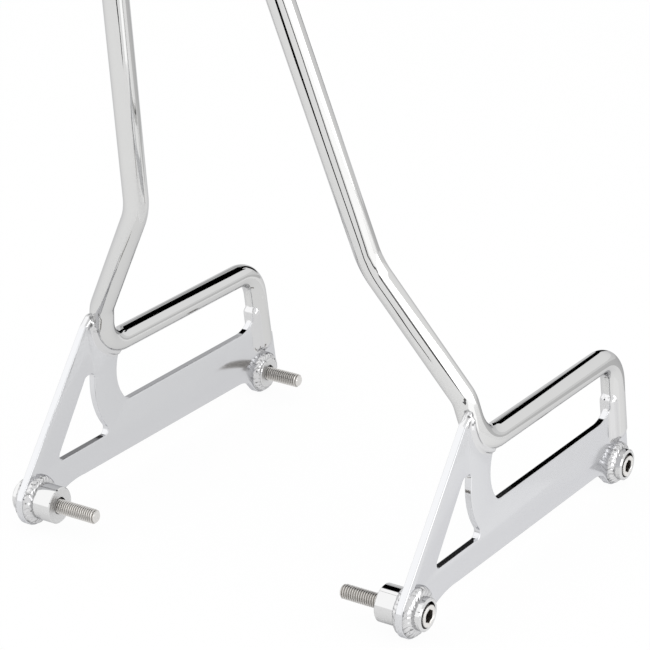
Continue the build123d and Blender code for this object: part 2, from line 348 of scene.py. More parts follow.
class Workpiece:
    """A mesh in the making, with the few moves that the pieces here are made by."""

    def __init__(self) -> None:
        """Start with an empty mesh."""
        self.bm: BMesh = bmesh.new()

    def ring(self, centre: Vector, direction: Vector, radius: float, segments: int) -> list[BMEdge]:
        """Add a circle square to a direction.

        Args:
            centre: Centre of the circle.
            direction: The circle's normal.
            radius: Its radius.
            segments: Its number of sides.

        Returns:
            The circle's edges.
        """
        turn = direction.to_track_quat("Z", "Y").to_matrix().to_4x4()
        made = bmesh.ops.create_circle(
            self.bm,
            cap_ends=False,
            segments=segments,
            radius=radius,
            matrix=Matrix.Translation(centre) @ turn,
        )
        return list({edge for vert in made["verts"] for edge in vert.link_edges})

    def pull(self, edges: list[BMEdge], offset: Vector, steps: int = 1) -> list[BMEdge]:
        """Extrude an open edge loop along a straight run.

        Args:
            edges: The loop to extrude.
            offset: The whole run.
            steps: Number of equal extrusions.

        Returns:
            The edges of the last loop.
        """
        for _ in range(steps):
            made = bmesh.ops.extrude_edge_only(self.bm, edges=edges)["geom"]
            moved = [item for item in made if isinstance(item, BMVert)]
            bmesh.ops.translate(self.bm, verts=moved, vec=offset / steps)
            edges = [item for item in made if isinstance(item, BMEdge)]
        return edges

    def turn(
        self,
        items: list,
        centre: Vector,
        axis: Vector,
        angle: float,
        steps: int,
        merge: bool = False,
    ) -> list:
        """Spin vertices or edges about an axis.

        Args:
            items: What to spin.
            centre: A point of the axis.
            axis: The axis.
            angle: The angle in radians.
            steps: Number of steps.
            merge: Whether a full turn closes on its start.

        Returns:
            The vertices and edges at the end of the turn.
        """
        made = bmesh.ops.spin(
            self.bm,
            geom=items,
            cent=centre,
            axis=axis,
            angle=angle,
            steps=steps,
            use_merge=merge,
            use_duplicate=False,
        )
        return made["geom_last"]

    def profile(self, points: Iterable[Vector]) -> list:
        """Draw an open line of edges through points.

        Args:
            points: The line's points in order.

        Returns:
            Its vertices and edges.
        """
        verts = [self.bm.verts.new(point) for point in points]
        edges = [self.bm.edges.new(pair) for pair in zip(verts, verts[1:])]
        return [*verts, *edges]

    def close(self, edges: list[BMEdge]) -> list[BMFace]:
        """Fill one loop of edges with a face and return it."""
        return bmesh.ops.edgeloop_fill(self.bm, edges=edges)["faces"]

    def trim(self, point: Vector, away: Vector) -> None:
        """Cut off what lies beyond a plane and cap the cuts.

        Args:
            point: A point of the plane.
            away: The direction in which the mesh is cut away.
        """
        bmesh.ops.bisect_plane(
            self.bm,
            geom=[*self.bm.verts, *self.bm.edges, *self.bm.faces],
            dist=ON_PLANE,
            plane_co=point,
            plane_no=away,
            clear_outer=True,
        )
        rims = [edge for edge in self.bm.edges if edge.is_boundary]
        bmesh.ops.holes_fill(self.bm, edges=rims, sides=0)

    def take(self, other: Workpiece) -> None:
        """Take in another mesh.

        Args:
            other: The mesh to take in, which is used up.
        """
        mesh = other.mesh("taken", NO_CREASE)
        self.bm.from_mesh(mesh)
        bpy.data.meshes.remove(mesh)

    def join(self) -> None:
        """Merge doubled vertices and turn the faces outward."""
        bmesh.ops.remove_doubles(self.bm, verts=self.bm.verts, dist=TOUCH)
        bmesh.ops.recalc_face_normals(self.bm, faces=self.bm.faces)

    def mirror_across(self) -> None:
        """Turn a right-hand piece into its mirror image on the left."""
        bmesh.ops.scale(self.bm, vec=(-1.0, 1.0, 1.0), verts=self.bm.verts)
        bmesh.ops.reverse_faces(self.bm, faces=self.bm.faces)

    def mesh(self, name: str, crease: float) -> bpy.types.Mesh:
        """Write the finished mesh, smooth apart from edges sharper than an angle.

        Args:
            name: Name of the mesh.
            crease: The angle in degrees.

        Returns:
            The new mesh.
        """
        mesh = bpy.data.meshes.new(name)
        self.bm.to_mesh(mesh)
        self.bm.free()
        mesh.set_sharp_from_angle(angle=radians(crease))
        return mesh


class Dresser:
    """Puts finished meshes into the scene, each with its finish and body, hiding the node it
    replaces.
    """

    def __init__(self) -> None:
        """Start with no finish made. Each is made once, when a piece first needs it."""
        self.finishes: dict[str, bpy.types.Material] = {}

    def place(
        self,
        name: str,
        mesh: bpy.types.Mesh,
        finish: ChromeFinish | StainlessFinish,
        slot: Slot,
        node: str,
    ) -> bpy.types.Object:
        """Add a piece that stands for a node of the frame.

        Args:
            name: Name of the piece.
            mesh: Its mesh, in the frame.
            finish: Its finish.
            slot: The record's slot it takes its finish from; not used.
            node: The node it replaces.

        Returns:
            The new object.
        """
        if finish.name not in self.finishes:
            self.finishes[finish.name] = finish.material()
        piece = bpy.data.objects.new(name, mesh)
        bpy.context.scene.collection.objects.link(piece)
        mesh.materials.clear()
        mesh.materials.append(self.finishes[finish.name])
        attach(piece, BODY)
        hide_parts(node)
        LOG.info("%s: %d faces", name, len(mesh.polygons))
        return piece


@dataclass(frozen=True)
class Bend:
    """A rounded corner of a route."""

    start: Vector
    end: Vector
    centre: Vector
    axis: Vector
    angle: float

    @classmethod
    def at(cls, before: Vector, corner: Vector, after: Vector, radius: float) -> Bend:
        """Round a corner between two straight runs.

        Args:
            before: A point on the run that comes in.
            corner: Where the runs cross.
            after: A point on the run that goes out.
            radius: The bend's radius.

        Returns:
            The bend.
        """
        come = (corner - before).normalized()
        leave = (after - corner).normalized()
        angle = come.angle(leave)
        axis = come.cross(leave).normalized()
        reach = radius * tan(angle / 2)
        start = corner - come * reach
        return cls(start, corner + leave * reach, start + axis.cross(come) * radius, axis, angle)


@dataclass
class Route:
    """A centreline of straight runs and bends."""

    points: list[Vector]
    radii: list[float]

    def sweep(
        self, work: Workpiece, radius: float, segments: int, bend_steps: int, run_step: float
    ) -> None:
        """Sweep a capped round bar along the route.

        Args:
            work: The mesh to add to.
            radius: The bar's radius.
            segments: Sides round the bar.
            bend_steps: Steps in each bend.
            run_step: Longest step along a straight run.
        """
        here = self.points[0]
        ring = work.ring(here, (self.points[1] - here).normalized(), radius, segments)
        work.close(ring)
        corners = zip(self.points, self.points[1:], self.points[2:], self.radii)
        for before, corner, after, bend_radius in corners:
            bend = Bend.at(before, corner, after, bend_radius)
            ring = self._run(work, ring, bend.start - here, run_step)
            last = work.turn(ring, bend.centre, bend.axis, bend.angle, bend_steps)
            ring = [item for item in last if isinstance(item, BMEdge)]
            here = bend.end
        ring = self._run(work, ring, self.points[-1] - here, run_step)
        work.close(ring)

    @staticmethod
    def _run(work: Workpiece, ring: list[BMEdge], offset: Vector, run_step: float) -> list[BMEdge]:
        """Pull the bar along one straight run and return its last ring."""
        return work.pull(ring, offset, max(1, ceil(offset.length / run_step)))


@dataclass
class Hoop:
    """The one length of round bar: two front legs, two grab rails and the reclined hoop."""

    bar_radius: float = 7.9375 * MM
    half_width: float = 139.7 * MM
    rail_height: float = 78.8 * MM
    rail_front_y: float = 249.6 * MM
    rail_rear_y: float = 74.0 * MM
    leg_rake: float = radians(12.4)
    leg_foot_z: float = 22.0 * MM
    flare_inset: float = 6.1 * MM
    flare_y: float = 65.9 * MM
    flare_height: float = 111.0 * MM
    recline: float = radians(19.1)
    knee: tuple[float, float] = (84.0 * MM, 195.0 * MM)
    top: tuple[float, float] = (46.4 * MM, 430.0 * MM)
    bend_radii: tuple[float, ...] = (25.0 * MM, 28.0 * MM, 25.0 * MM, 60.0 * MM, 48.0 * MM)
    segments: int = 96
    bend_steps: int = 32
    run_step: float = 30.0 * MM
    crease_angle: float = 40.0

    def leg_y(self, height: float) -> float:
        """Y of the front leg's centreline at a height."""
        return self.rail_front_y + (self.rail_height - height) * tan(self.leg_rake)

    def _reclined(self, half_width: float, height: float) -> Vector:
        """Point of the reclined plane at a half width and a height."""
        y = self.flare_y - (height - self.flare_height) * tan(self.recline)
        return Vector((half_width, y, height))

    def rail_rear(self) -> Vector:
        """Corner where the right rail turns up into the upright."""
        return Vector((self.half_width, self.rail_rear_y, self.rail_height))

    def flare(self) -> Vector:
        """Corner where the right upright starts to lean inward."""
        return Vector((self.half_width - self.flare_inset, self.flare_y, self.flare_height))

    def leg_foot(self) -> Vector:
        """Foot of the right front leg."""
        return Vector((self.half_width, self.leg_y(self.leg_foot_z), self.leg_foot_z))

    def flare_lean(self) -> float:
        """Change of Y with height between the rail's rear corner and the flare."""
        return (self.flare_y - self.rail_rear_y) / (self.flare_height - self.rail_height)

    def rear_bend(self) -> Bend:
        """The bend between the right rail and the upright."""
        front = Vector((self.half_width, self.rail_front_y, self.rail_height))
        return Bend.at(front, self.rail_rear(), self.flare(), self.bend_radii[1])

    def route(self) -> Route:
        """Draw the centreline of the whole bar, from the right foot to the left one.

        Returns:
            The centreline.
        """
        right = [
            self.leg_foot(),
            Vector((self.half_width, self.rail_front_y, self.rail_height)),
            self.rail_rear(),
            self.flare(),
            self._reclined(*self.knee),
            self._reclined(*self.top),
        ]
        left = [Vector((-point.x, point.y, point.z)) for point in reversed(right)]
        return Route(right + left, [*self.bend_radii, *reversed(self.bend_radii)])

    def build(self, dresser: Dresser) -> None:
        """Model and place the bar.

        Args:
            dresser: Where it goes.
        """
        work = Workpiece()
        self.route().sweep(work, self.bar_radius, self.segments, self.bend_steps, self.run_step)
        work.join()
        mesh = work.mesh("bent_bar", self.crease_angle)
        dresser.place(mesh.name, mesh, BAR_CHROME, Slot.CHROME, "hoop")


class Outline:
    """A closed outline in the Y-Z plane, drawn vertex by vertex with lines and arcs."""

    def __init__(self, work: Workpiece, x: float, start: tuple[float, float]) -> None:
        """Put down the first vertex.

        Args:
            work: The mesh to draw in.
            x: Where the plane stands.
            start: Y and Z of the first vertex.
        """
        self.work = work
        self.x = x
        self.first = self.pen = work.bm.verts.new((x, *start))

    def line(self, y: float, z: float) -> None:
        """Draw a straight edge to a point.

        Args:
            y: Y of the point.
            z: Z of the point.
        """
        made = bmesh.ops.extrude_vert_indiv(self.work.bm, verts=[self.pen])
        self.pen = made["verts"][0]
        self.pen.co = Vector((self.x, y, z))

    def arc(self, y: float, z: float, angle: float, step: float) -> None:
        """Draw an arc about a centre.

        Args:
            y: Y of the centre.
            z: Z of the centre.
            angle: Turn about +X, in radians.
            step: Longest chord of the arc.
        """
        centre = Vector((self.x, y, z))
        length = abs(angle) * (self.pen.co - centre).length
        last = self.work.turn([self.pen], centre, ACROSS, angle, max(2, ceil(length / step)))
        self.pen = [item for item in last if isinstance(item, BMVert)][0]

    def corner(self, corner: Vector, after: Vector, radius: float, step: float) -> None:
        """Draw a line towards a corner and round it.

        Args:
            corner: The corner, in the plane.
            after: A point on the line that goes out.
            radius: Radius of the rounding.
            step: Longest chord of the rounding.
        """
        self.follow(Bend.at(self.pen.co, corner, after, radius), step)

    def follow(self, bend: Bend, step: float) -> None:
        """Draw a line to the start of a rounded corner, and then its rounding.

        Args:
            bend: The rounded corner, in the plane.
            step: Longest chord of the rounding.
        """
        self.line(bend.start.y, bend.start.z)
        self.arc(bend.centre.y, bend.centre.z, bend.angle * bend.axis.dot(ACROSS), step)

    def finish(self) -> None:
        """Join the last vertex to the first."""
        self.work.bm.edges.new((self.pen, self.first))


@dataclass
class SidePlate:
    """A flat plate with its triangle, its open-topped hand hole, its raked post and round lobes."""

    hoop: Hoop
    thickness: float = 4.76 * MM
    lobe_radius: float = 17.0 * MM
    rear_bolt: tuple[float, float] = (0.0, 0.0)
    front_bolt: tuple[float, float] = (261.5 * MM, -2.0 * MM)
    front_lobe_radius: float = 16.2 * MM
    front_lobe_forward: float = 0.75 * MM
    front_lobe_raise: float = 0.9 * MM
    bottom_z: float = -2.3 * MM
    rear_blend: float = 60.0 * MM
    front_blend: float = 23.0 * MM
    post_rake: float = radians(36.5)
    post_rise: float = 22.2 * MM
    floor_z: float = 34.5 * MM
    arc_y: float = 117.4 * MM
    arc_share: float = 0.553
    arc_radius: float = 31.0 * MM
    opening_rear_radius: float = 8.0 * MM
    opening_front_radius: float = 20.0 * MM
    opening_tuck: float = 2.0 * MM
    strut_width: float = 24.0 * MM
    triangle_floor_z: float = 17.2 * MM
    triangle_drop: float = 12.8 * MM
    triangle_top_width: float = 10.0 * MM
    post_foot_width: float = 28.3 * MM
    triangle_radius: float = 4.0 * MM
    bung_radius: float = 10.5 * MM
    edge_round: float = 0.55 * MM
    edge_steps: int = 3
    hole_segments: int = 72
    chord: float = 1.0 * MM
    flatness: float = radians(0.5)
    crease_angle: float = 35.0
    flat_cosine: float = 0.999
    square_cosine: float = 0.01

    def inner_x(self) -> float:
        """X of the right plate's inner face."""
        return self.hoop.half_width - self.thickness / 2

    def outer_x(self) -> float:
        """X of the right plate's outer face."""
        return self.hoop.half_width + self.thickness / 2

    def post_top_z(self) -> float:
        """Height of the post's top."""
        return self.hoop.rail_height + self.post_rise

    def post_rear_y(self, height: float) -> float:
        """Y of the post's rear edge at a height."""
        return height * tan(self.post_rake) - self.lobe_radius / cos(self.post_rake)

    def arc_z(self) -> float:
        """Height of the centre of the hand hole's rear arc."""
        return self.floor_z + self.arc_share * (self.hoop.rail_height - self.floor_z)

    def front_lobe(self) -> tuple[float, float]:
        """Y and Z of the front lobe's centre."""
        bolt_y, bolt_z = self.front_bolt
        return bolt_y + self.front_lobe_forward, bolt_z + self.front_lobe_raise

    def _blend(
        self, lobe: tuple[float, float], radius: float, blend: float, side: int
    ) -> tuple[Vector, float]:
        """Find the hollow between the bottom edge and a lobe.

        Args:
            lobe: Y and Z of the lobe's centre.
            radius: Radius of the lobe.
            blend: Radius of the hollow.
            side: Which side of the lobe, +1 in front of it and -1 behind it.

        Returns:
            The hollow's centre as a vector in the Y-Z plane, and the angle it turns through.
        """
        drop = self.bottom_z - blend - lobe[1]
        reach = sqrt((radius + blend) ** 2 - drop**2)
        return Vector((0.0, lobe[0] + side * reach, self.bottom_z - blend)), atan2(reach, -drop)

    def _draw_outline(self, work: Workpiece) -> None:
        """Draw the outer outline, which runs inside the bar where the two meet.

        Args:
            work: The mesh to draw in.
        """
        hoop, x = self.hoop, self.inner_x()
        rear, rear_turn = self._blend(self.rear_bolt, self.lobe_radius, self.rear_blend, 1)
        front_lobe = self.front_lobe()
        front, front_turn = self._blend(front_lobe, self.front_lobe_radius, self.front_blend, -1)
        top_z = self.post_top_z()
        pen = Outline(work, x, (self.post_rear_y(top_z), top_z))
        pen.line(-self.lobe_radius * cos(self.post_rake), self.lobe_radius * sin(self.post_rake))
        pen.arc(*self.rear_bolt, pi + self.post_rake - rear_turn, self.chord)
        pen.arc(rear.y, rear.z, -rear_turn, self.chord)
        pen.line(front.y, self.bottom_z)
        pen.arc(front.y, front.z, -front_turn, self.chord)
        pen.arc(*front_lobe, front_turn + pi / 2 + hoop.leg_rake, self.chord)
        leg_up = Vector((0.0, -sin(hoop.leg_rake), cos(hoop.leg_rake)))
        foot = hoop.leg_foot()
        step = pen.pen.co + leg_up * (foot - pen.pen.co).dot(leg_up)
        pen.line(step.y, step.z)
        pen.line(foot.y, foot.z)
        floor_front = Vector((x, hoop.leg_y(self.floor_z) - self.opening_tuck, self.floor_z))
        rail_front = Vector((x, hoop.rail_front_y - self.opening_tuck, hoop.rail_height))
        arc_z = self.arc_z()
        floor_y = self.arc_y - sqrt(self.arc_radius**2 - (arc_z - self.floor_z) ** 2)
        floor_rear = Vector((x, floor_y, self.floor_z))
        front_corner = Bend.at(rail_front, floor_front, floor_rear, self.opening_front_radius)
        pen.follow(front_corner, self.chord)
        corner_z = self.floor_z + self.opening_rear_radius
        inner = self.arc_radius - self.opening_rear_radius
        corner_y = self.arc_y - sqrt(inner**2 - (arc_z - corner_z) ** 2)
        pen.line(corner_y, self.floor_z)
        meet = atan2(arc_z - corner_z, self.arc_y - corner_y)
        pen.arc(corner_y, corner_z, -(pi / 2 - meet), self.chord / 2)
        over = hoop.rail_height - arc_z
        rise = atan2(over, sqrt(self.arc_radius**2 - over**2))
        pen.arc(self.arc_y, arc_z, -(meet + rise), self.chord)
        bend = hoop.rear_bend()
        middle = bend.centre + (hoop.rail_rear() - bend.centre).normalized() * hoop.bend_radii[1]
        pen.line(middle.y, middle.z)
        pen.line(hoop.rail_rear_y + hoop.flare_lean() * self.post_rise, top_z)
        pen.finish()

    def _strut_y(self, height: float) -> float:
        """Y of the triangle's curved front side at a height."""
        radius = self.arc_radius + self.strut_width
        return self.arc_y - sqrt(radius**2 - (height - self.arc_z()) ** 2)

    def _draw_triangle(self, work: Workpiece) -> None:
        """Draw the triangle's rounded outline.

        Args:
            work: The mesh to draw in.
        """
        x, floor = self.inner_x(), self.triangle_floor_z
        top = self.hoop.rail_height - self.triangle_drop
        radius, small = self.arc_radius + self.strut_width, self.triangle_radius
        arc_z = self.arc_z()
        rear_foot = Vector((x, self.post_rear_y(floor) + self.post_foot_width, floor))
        rear_top = Vector((x, self._strut_y(top) - self.triangle_top_width, top))
        reach = radius + small
        low = Vector((x, self.arc_y - sqrt(reach**2 - (floor + small - arc_z) ** 2), floor + small))
        high = Vector((x, self.arc_y - sqrt(reach**2 - (top - small - arc_z) ** 2), top - small))
        low_turn = atan2(arc_z - low.z, self.arc_y - low.y)
        high_turn = atan2(high.z - arc_z, self.arc_y - high.y)
        pen = Outline(work, x, ((rear_foot.y + low.y) / 2, floor))
        pen.corner(rear_foot, rear_top, small, self.chord / 2)
        pen.corner(rear_top, Vector((x, high.y, top)), small, self.chord / 2)
        pen.line(high.y, top)
        pen.arc(high.y, high.z, -(pi / 2 + high_turn), self.chord / 2)
        pen.arc(self.arc_y, arc_z, high_turn + low_turn, self.chord)
        pen.arc(low.y, low.z, -(pi / 2 + low_turn), self.chord / 2)
        pen.finish()

    def slab(self, work: Workpiece, skin: float = 0.0) -> None:
        """Model the plate with sharp edges.

        Args:
            work: An empty mesh to model it in.
            skin: How much thinner each face lies than the plate's own.
        """
        self._draw_outline(work)
        self._draw_triangle(work)
        for bolt_y, bolt_z in (self.rear_bolt, self.front_bolt):
            centre = Vector((self.inner_x(), bolt_y, bolt_z))
            work.ring(centre, ACROSS, self.bung_radius, self.hole_segments)
        bm = work.bm
        bmesh.ops.triangle_fill(bm, use_beauty=True, edges=bm.edges, normal=ACROSS)
        bmesh.ops.dissolve_limit(bm, angle_limit=self.flatness, verts=bm.verts, edges=bm.edges)
        bmesh.ops.translate(bm, verts=bm.verts, vec=ACROSS * skin)
        made = bmesh.ops.extrude_face_region(bm, geom=bm.faces, use_keep_orig=True)["geom"]
        far = [item for item in made if isinstance(item, BMVert)]
        bmesh.ops.translate(bm, verts=far, vec=ACROSS * (self.thickness - 2.0 * skin))
        bmesh.ops.recalc_face_normals(bm, faces=bm.faces)

    def build(self, side: Side, dresser: Dresser) -> None:
        """Model and place one plate.

        Args:
            side: The side it sits on.
            dresser: Where it goes.
        """
        work = Workpiece()
        self.slab(work)
        bm = work.bm
        rims = [edge for edge in bm.edges if edge.is_manifold and self._is_rim(edge)]
        bmesh.ops.bevel(
            bm,
            geom=rims,
            affect="EDGES",
            offset=self.edge_round,
            segments=self.edge_steps,
            profile=0.5,
            material=-1,
        )
        if side is Side.LEFT:
            work.mirror_across()
        bm.normal_update()
        layer = bm.faces.layers.float.new("edge")
        for face in bm.faces:
            face[layer] = float(not self._is_flat(face))
            face.smooth = not self._is_flat(face)
        bm.edges.index_update()
        lips = [edge.index for edge in bm.edges if self._is_lip(edge)]
        mesh = work.mesh(f"side_plate_{side.value}", self.crease_angle)
        for index in lips:
            mesh.edges[index].use_edge_sharp = True
        dresser.place(mesh.name, mesh, PLATE_CHROME, Slot.CHROME, f"plate_{side.value}")

    def _is_flat(self, face: BMFace) -> bool:
        """Whether a face is one of the plate's two flat faces."""
        return abs(face.normal.x) > self.flat_cosine

    def _is_rim(self, edge: BMEdge) -> bool:
        """Whether an edge lies between a flat face of the plate and its side."""
        flat = [self._is_flat(face) for face in edge.link_faces]
        return flat[0] != flat[1]

    def _is_lip(self, edge: BMEdge) -> bool:
        """Whether an edge lies between the plate's square side and its rounding."""
        square = [abs(face.normal.x) < self.square_cosine for face in edge.link_faces]
        return square.count(True) == 1


@dataclass
class BoltPlace:
    """Where a bung and its screw sit on the right plate, and how far they reach inward."""

    end: End
    y: float
    z: float
    inner_radius: float
    inner_length: float
    screw_length: float
    weld_radius: float


@dataclass
class Bung:
    """A turned bung through the plate: inner spacer, plate core and counterbored outer boss."""

    plate: SidePlate
    boss_radius: float = 10.5 * MM
    boss_proud: float = 8.5 * MM
    boss_chamfer: float = 0.8 * MM
    inner_chamfer: float = 0.6 * MM
    bore_radius: float = 5.5 * MM
    counterbore_radius: float = 8.3 * MM
    counterbore_depth: float = 8.7 * MM
    lip: float = 0.25 * MM
    steps: int = 96
    crease_angle: float = 25.0
    flat_cosine: float = 0.9

    def face_x(self) -> float:
        """X of the outer boss's face."""
        return self.plate.outer_x() + self.boss_proud

    def seat_x(self) -> float:
        """X of the seat under the screw's head."""
        return self.face_x() - self.counterbore_depth

    def build(self, place: BoltPlace, side: Side, dresser: Dresser) -> None:
        """Model and place one bung.

        Args:
            place: Where it sits.
            side: The side it sits on.
            dresser: Where it goes.
        """
        inner_end = self.plate.inner_x() - place.inner_length
        face, seat, mid = self.face_x(), self.seat_x(), self.plate.inner_x()
        outline = [
            (inner_end, self.bore_radius + self.lip),
            (inner_end, place.inner_radius - self.inner_chamfer),
            (inner_end + self.inner_chamfer, place.inner_radius),
            (mid, place.inner_radius),
            (mid, self.boss_radius),
            (face - self.boss_chamfer, self.boss_radius),
            (face, self.boss_radius - self.boss_chamfer),
            (face, self.counterbore_radius + self.lip),
            (face - self.lip, self.counterbore_radius),
            (seat, self.counterbore_radius),
            (seat, self.bore_radius),
            (inner_end + self.lip, self.bore_radius),
            (inner_end, self.bore_radius + self.lip),
        ]
        work = Workpiece()
        items = work.profile(Vector((x, place.y, place.z + r)) for x, r in outline)
        work.turn(items, Vector((0.0, place.y, place.z)), ACROSS, tau, self.steps, merge=True)
        work.join()
        work.bm.normal_update()
        layer = work.bm.faces.layers.float.new("flat")
        for surface in work.bm.faces:
            surface[layer] = float(abs(surface.normal.x) > self.flat_cosine)
        if side is Side.LEFT:
            work.mirror_across()
        name = f"bung_turned_{place.end.value}_{side.value}"
        node = f"bung_{place.end.value}_{side.value}"
        dresser.place(name, work.mesh(name, self.crease_angle), BUNG_CHROME, Slot.CHROME, node)


@dataclass
class Screw:
    """A socket-head cap screw with a cut helical thread on its free end."""

    bung: Bung
    major_radius: float = 4.7625 * MM
    minor_radius: float = 3.86 * MM
    pitch: float = 1.5875 * MM
    tip_chamfer: float = 1.3 * MM
    thread_cover: float = 6.0 * MM
    head_radius: float = 7.15 * MM
    head_height: float = 9.525 * MM
    head_round: float = 0.8 * MM
    socket_flats: float = 3.97 * MM
    socket_lead: float = 0.35 * MM
    socket_depth: float = 4.8 * MM
    drill_depth: float = 0.9 * MM
    knurls: int = 48
    knurl_depth: float = 0.22 * MM
    drop: float = 0.55 * MM
    steps: int = 48
    tooth: tuple[tuple[float, float], ...] = ((0.12, 0.0), (0.44, 1.0), (0.56, 1.0), (0.88, 0.0))
    round_share: float = 0.3
    socket_zone: float = 4.77 * MM
    # Painted shade level inside the socket.
    socket_shade_mark: float = 2.0
    crease_angle: float = 30.0

    def _tip_x(self, place: BoltPlace) -> float:
        """X of the right screw's free end."""
        return self.bung.seat_x() - place.screw_length

    def _stop_x(self, place: BoltPlace) -> float:
        """X at which the right screw's thread gives way to its shank."""
        return self.bung.plate.inner_x() - place.inner_length + self.thread_cover

    def _top_x(self) -> float:
        """X of the right screw's head at its top."""
        return self.bung.seat_x() + self.head_height

    def _thread(self, work: Workpiece, place: BoltPlace) -> None:
        """Cut the thread: one turn of a toothed line, swept along the helix, trimmed and capped.

        Args:
            work: The mesh to add to.
            place: Where the screw sits.
        """
        tip, stop = self._tip_x(place), self._stop_x(place)
        turns = ceil((stop - tip) / self.pitch) + 2
        depth = self.major_radius - self.minor_radius
        start, root_z = tip - self.pitch, place.z + self.minor_radius
        items = work.profile(
            Vector((start + (turn + along) * self.pitch, place.y, root_z + depth * high))
            for turn in range(turns)
            for along, high in self.tooth
        )
        bmesh.ops.spin(
            work.bm,
            geom=items,
            cent=(0.0, place.y, place.z),
            axis=ACROSS,
            dvec=ACROSS * (self.pitch / self.steps),
            angle=tau,
            steps=self.steps,
            use_duplicate=False,
        )
        bmesh.ops.remove_doubles(work.bm, verts=work.bm.verts, dist=TOUCH)
        for x, way in ((tip, -1.0), (stop, 1.0)):
            work.trim(ACROSS * x, ACROSS * way)
        for vert in work.bm.verts:
            spoke = Vector((0.0, vert.co.y - place.y, vert.co.z - place.z))
            limit = self.major_radius - self.tip_chamfer + (vert.co.x - tip)
            if spoke.length > limit:
                spoke = spoke * (limit / spoke.length)
                vert.co = Vector((vert.co.x, place.y + spoke.y, place.z + spoke.z))

    def _head(self, work: Workpiece, place: BoltPlace) -> None:
        """Turn the shank and the knurled head, and sink the hexagon into it.

        Args:
            work: The mesh to add to.
            place: Where the screw sits.
        """
        stop, seat, top = self._stop_x(place), self.bung.seat_x(), self._top_x()
        shoulder = self.round_share * self.head_round
        hexagon = 2.0 * self.socket_flats / sqrt(3.0)
        mouth = hexagon + self.socket_lead
        outline = [
            (stop, 0.0),
            (stop, self.major_radius),
            (seat, self.major_radius),
            (seat, self.head_radius),
            (top - 2.0 * self.head_round, self.head_radius),
            (top - self.head_round, self.head_radius),
            (top - shoulder, self.head_radius - shoulder),
            (top, self.head_radius - self.head_round),
            (top, mouth),
        ]
        items = work.profile(Vector((x, place.y, place.z + r)) for x, r in outline)
        axis_point = Vector((0.0, place.y, place.z))
        before = set(work.bm.verts)
        work.turn(items, axis_point, ACROSS, tau, 2 * self.knurls, merge=True)
        made = [vert for vert in work.bm.verts if vert not in before]
        bmesh.ops.remove_doubles(work.bm, verts=made, dist=TOUCH)
        rim = [
            edge
            for edge in work.bm.edges
            if edge.is_boundary and abs(edge.verts[0].co.x - top) < TOUCH
        ]
        socket = work.ring(Vector((top - self.socket_lead, place.y, place.z)), ACROSS, hexagon, 6)
        bmesh.ops.bridge_loops(work.bm, edges=[*rim, *socket])
        floor = work.pull(socket, ACROSS * -(self.socket_depth - self.socket_lead))
        bottom = work.close(floor)
        poke = bmesh.ops.poke(work.bm, faces=bottom)["verts"]
        bmesh.ops.translate(work.bm, verts=poke, vec=ACROSS * -self.drill_depth)
        for vert in work.bm.verts:
            spoke = Vector((0.0, vert.co.y - place.y, vert.co.z - place.z))
            on_side = abs(spoke.length - self.head_radius) < TOUCH
            if on_side and seat < vert.co.x < top - self.head_round:
                turn = round(atan2(spoke.z, spoke.y) / (tau / (2 * self.knurls)))
                sunk = 1.0 - self.knurl_depth / self.head_radius * (turn % 2)
                vert.co = Vector((vert.co.x, place.y + spoke.y * sunk, place.z + spoke.z * sunk))

    def _painted_shade(self, place: BoltPlace, along: float, radius: float) -> float:
        """Say how much painted shade a point gets, from how deep it lies in the screw's surface.

        Args:
            place: Where the screw sits.
            along: The point's distance from the object's middle plane.
            radius: Its distance from the screw's axis.

        Returns:
            Painted shade, up to 1 at the thread's roots, and more inside the socket.
        """
        if along > self.bung.seat_x():
            sunk = radius < self.socket_zone and along < self._top_x() - 2.0 * self.socket_lead
            return self.socket_shade_mark * sunk
        if along < self._tip_x(place) + self.tip_chamfer / 2:
            return 0.0
        span = self.major_radius - self.minor_radius
        return min(1.0, max(0.0, (self.major_radius - radius) / span))

    def build(self, place: BoltPlace, side: Side, dresser: Dresser) -> None:
        """Model and place one screw.

        A left screw is turned round, so its thread stays right-handed.

        Args:
            place: Where it sits.
            side: The side it sits on.
            dresser: Where it goes.
        """
        work = Workpiece()
        self._thread(work, place)
        self._head(work, place)
        bmesh.ops.recalc_face_normals(work.bm, faces=work.bm.faces)
        if side is Side.LEFT:
            about = Matrix.Translation((0.0, place.y, place.z)) @ Matrix.Rotation(pi, 4, "Z")
            about = about @ Matrix.Translation((0.0, -place.y, -place.z))
            bmesh.ops.transform(work.bm, matrix=about, verts=work.bm.verts)
        # Painted shade in the thread roots and the socket, kept in the depth attribute.
        layer = work.bm.verts.layers.float.new("depth")
        for vert in work.bm.verts:
            radius = Vector((vert.co.y - place.y, vert.co.z - place.z)).length
            vert[layer] = self._painted_shade(place, abs(vert.co.x), radius)
        bmesh.ops.translate(work.bm, verts=work.bm.verts, vec=UP * -self.drop)
        name = f"screw_threaded_{place.end.value}_{side.value}"
        node = f"screw_{place.end.value}_{side.value}"
        dresser.place(name, work.mesh(name, self.crease_angle), SCREW_STEEL, Slot.STAINLESS, node)


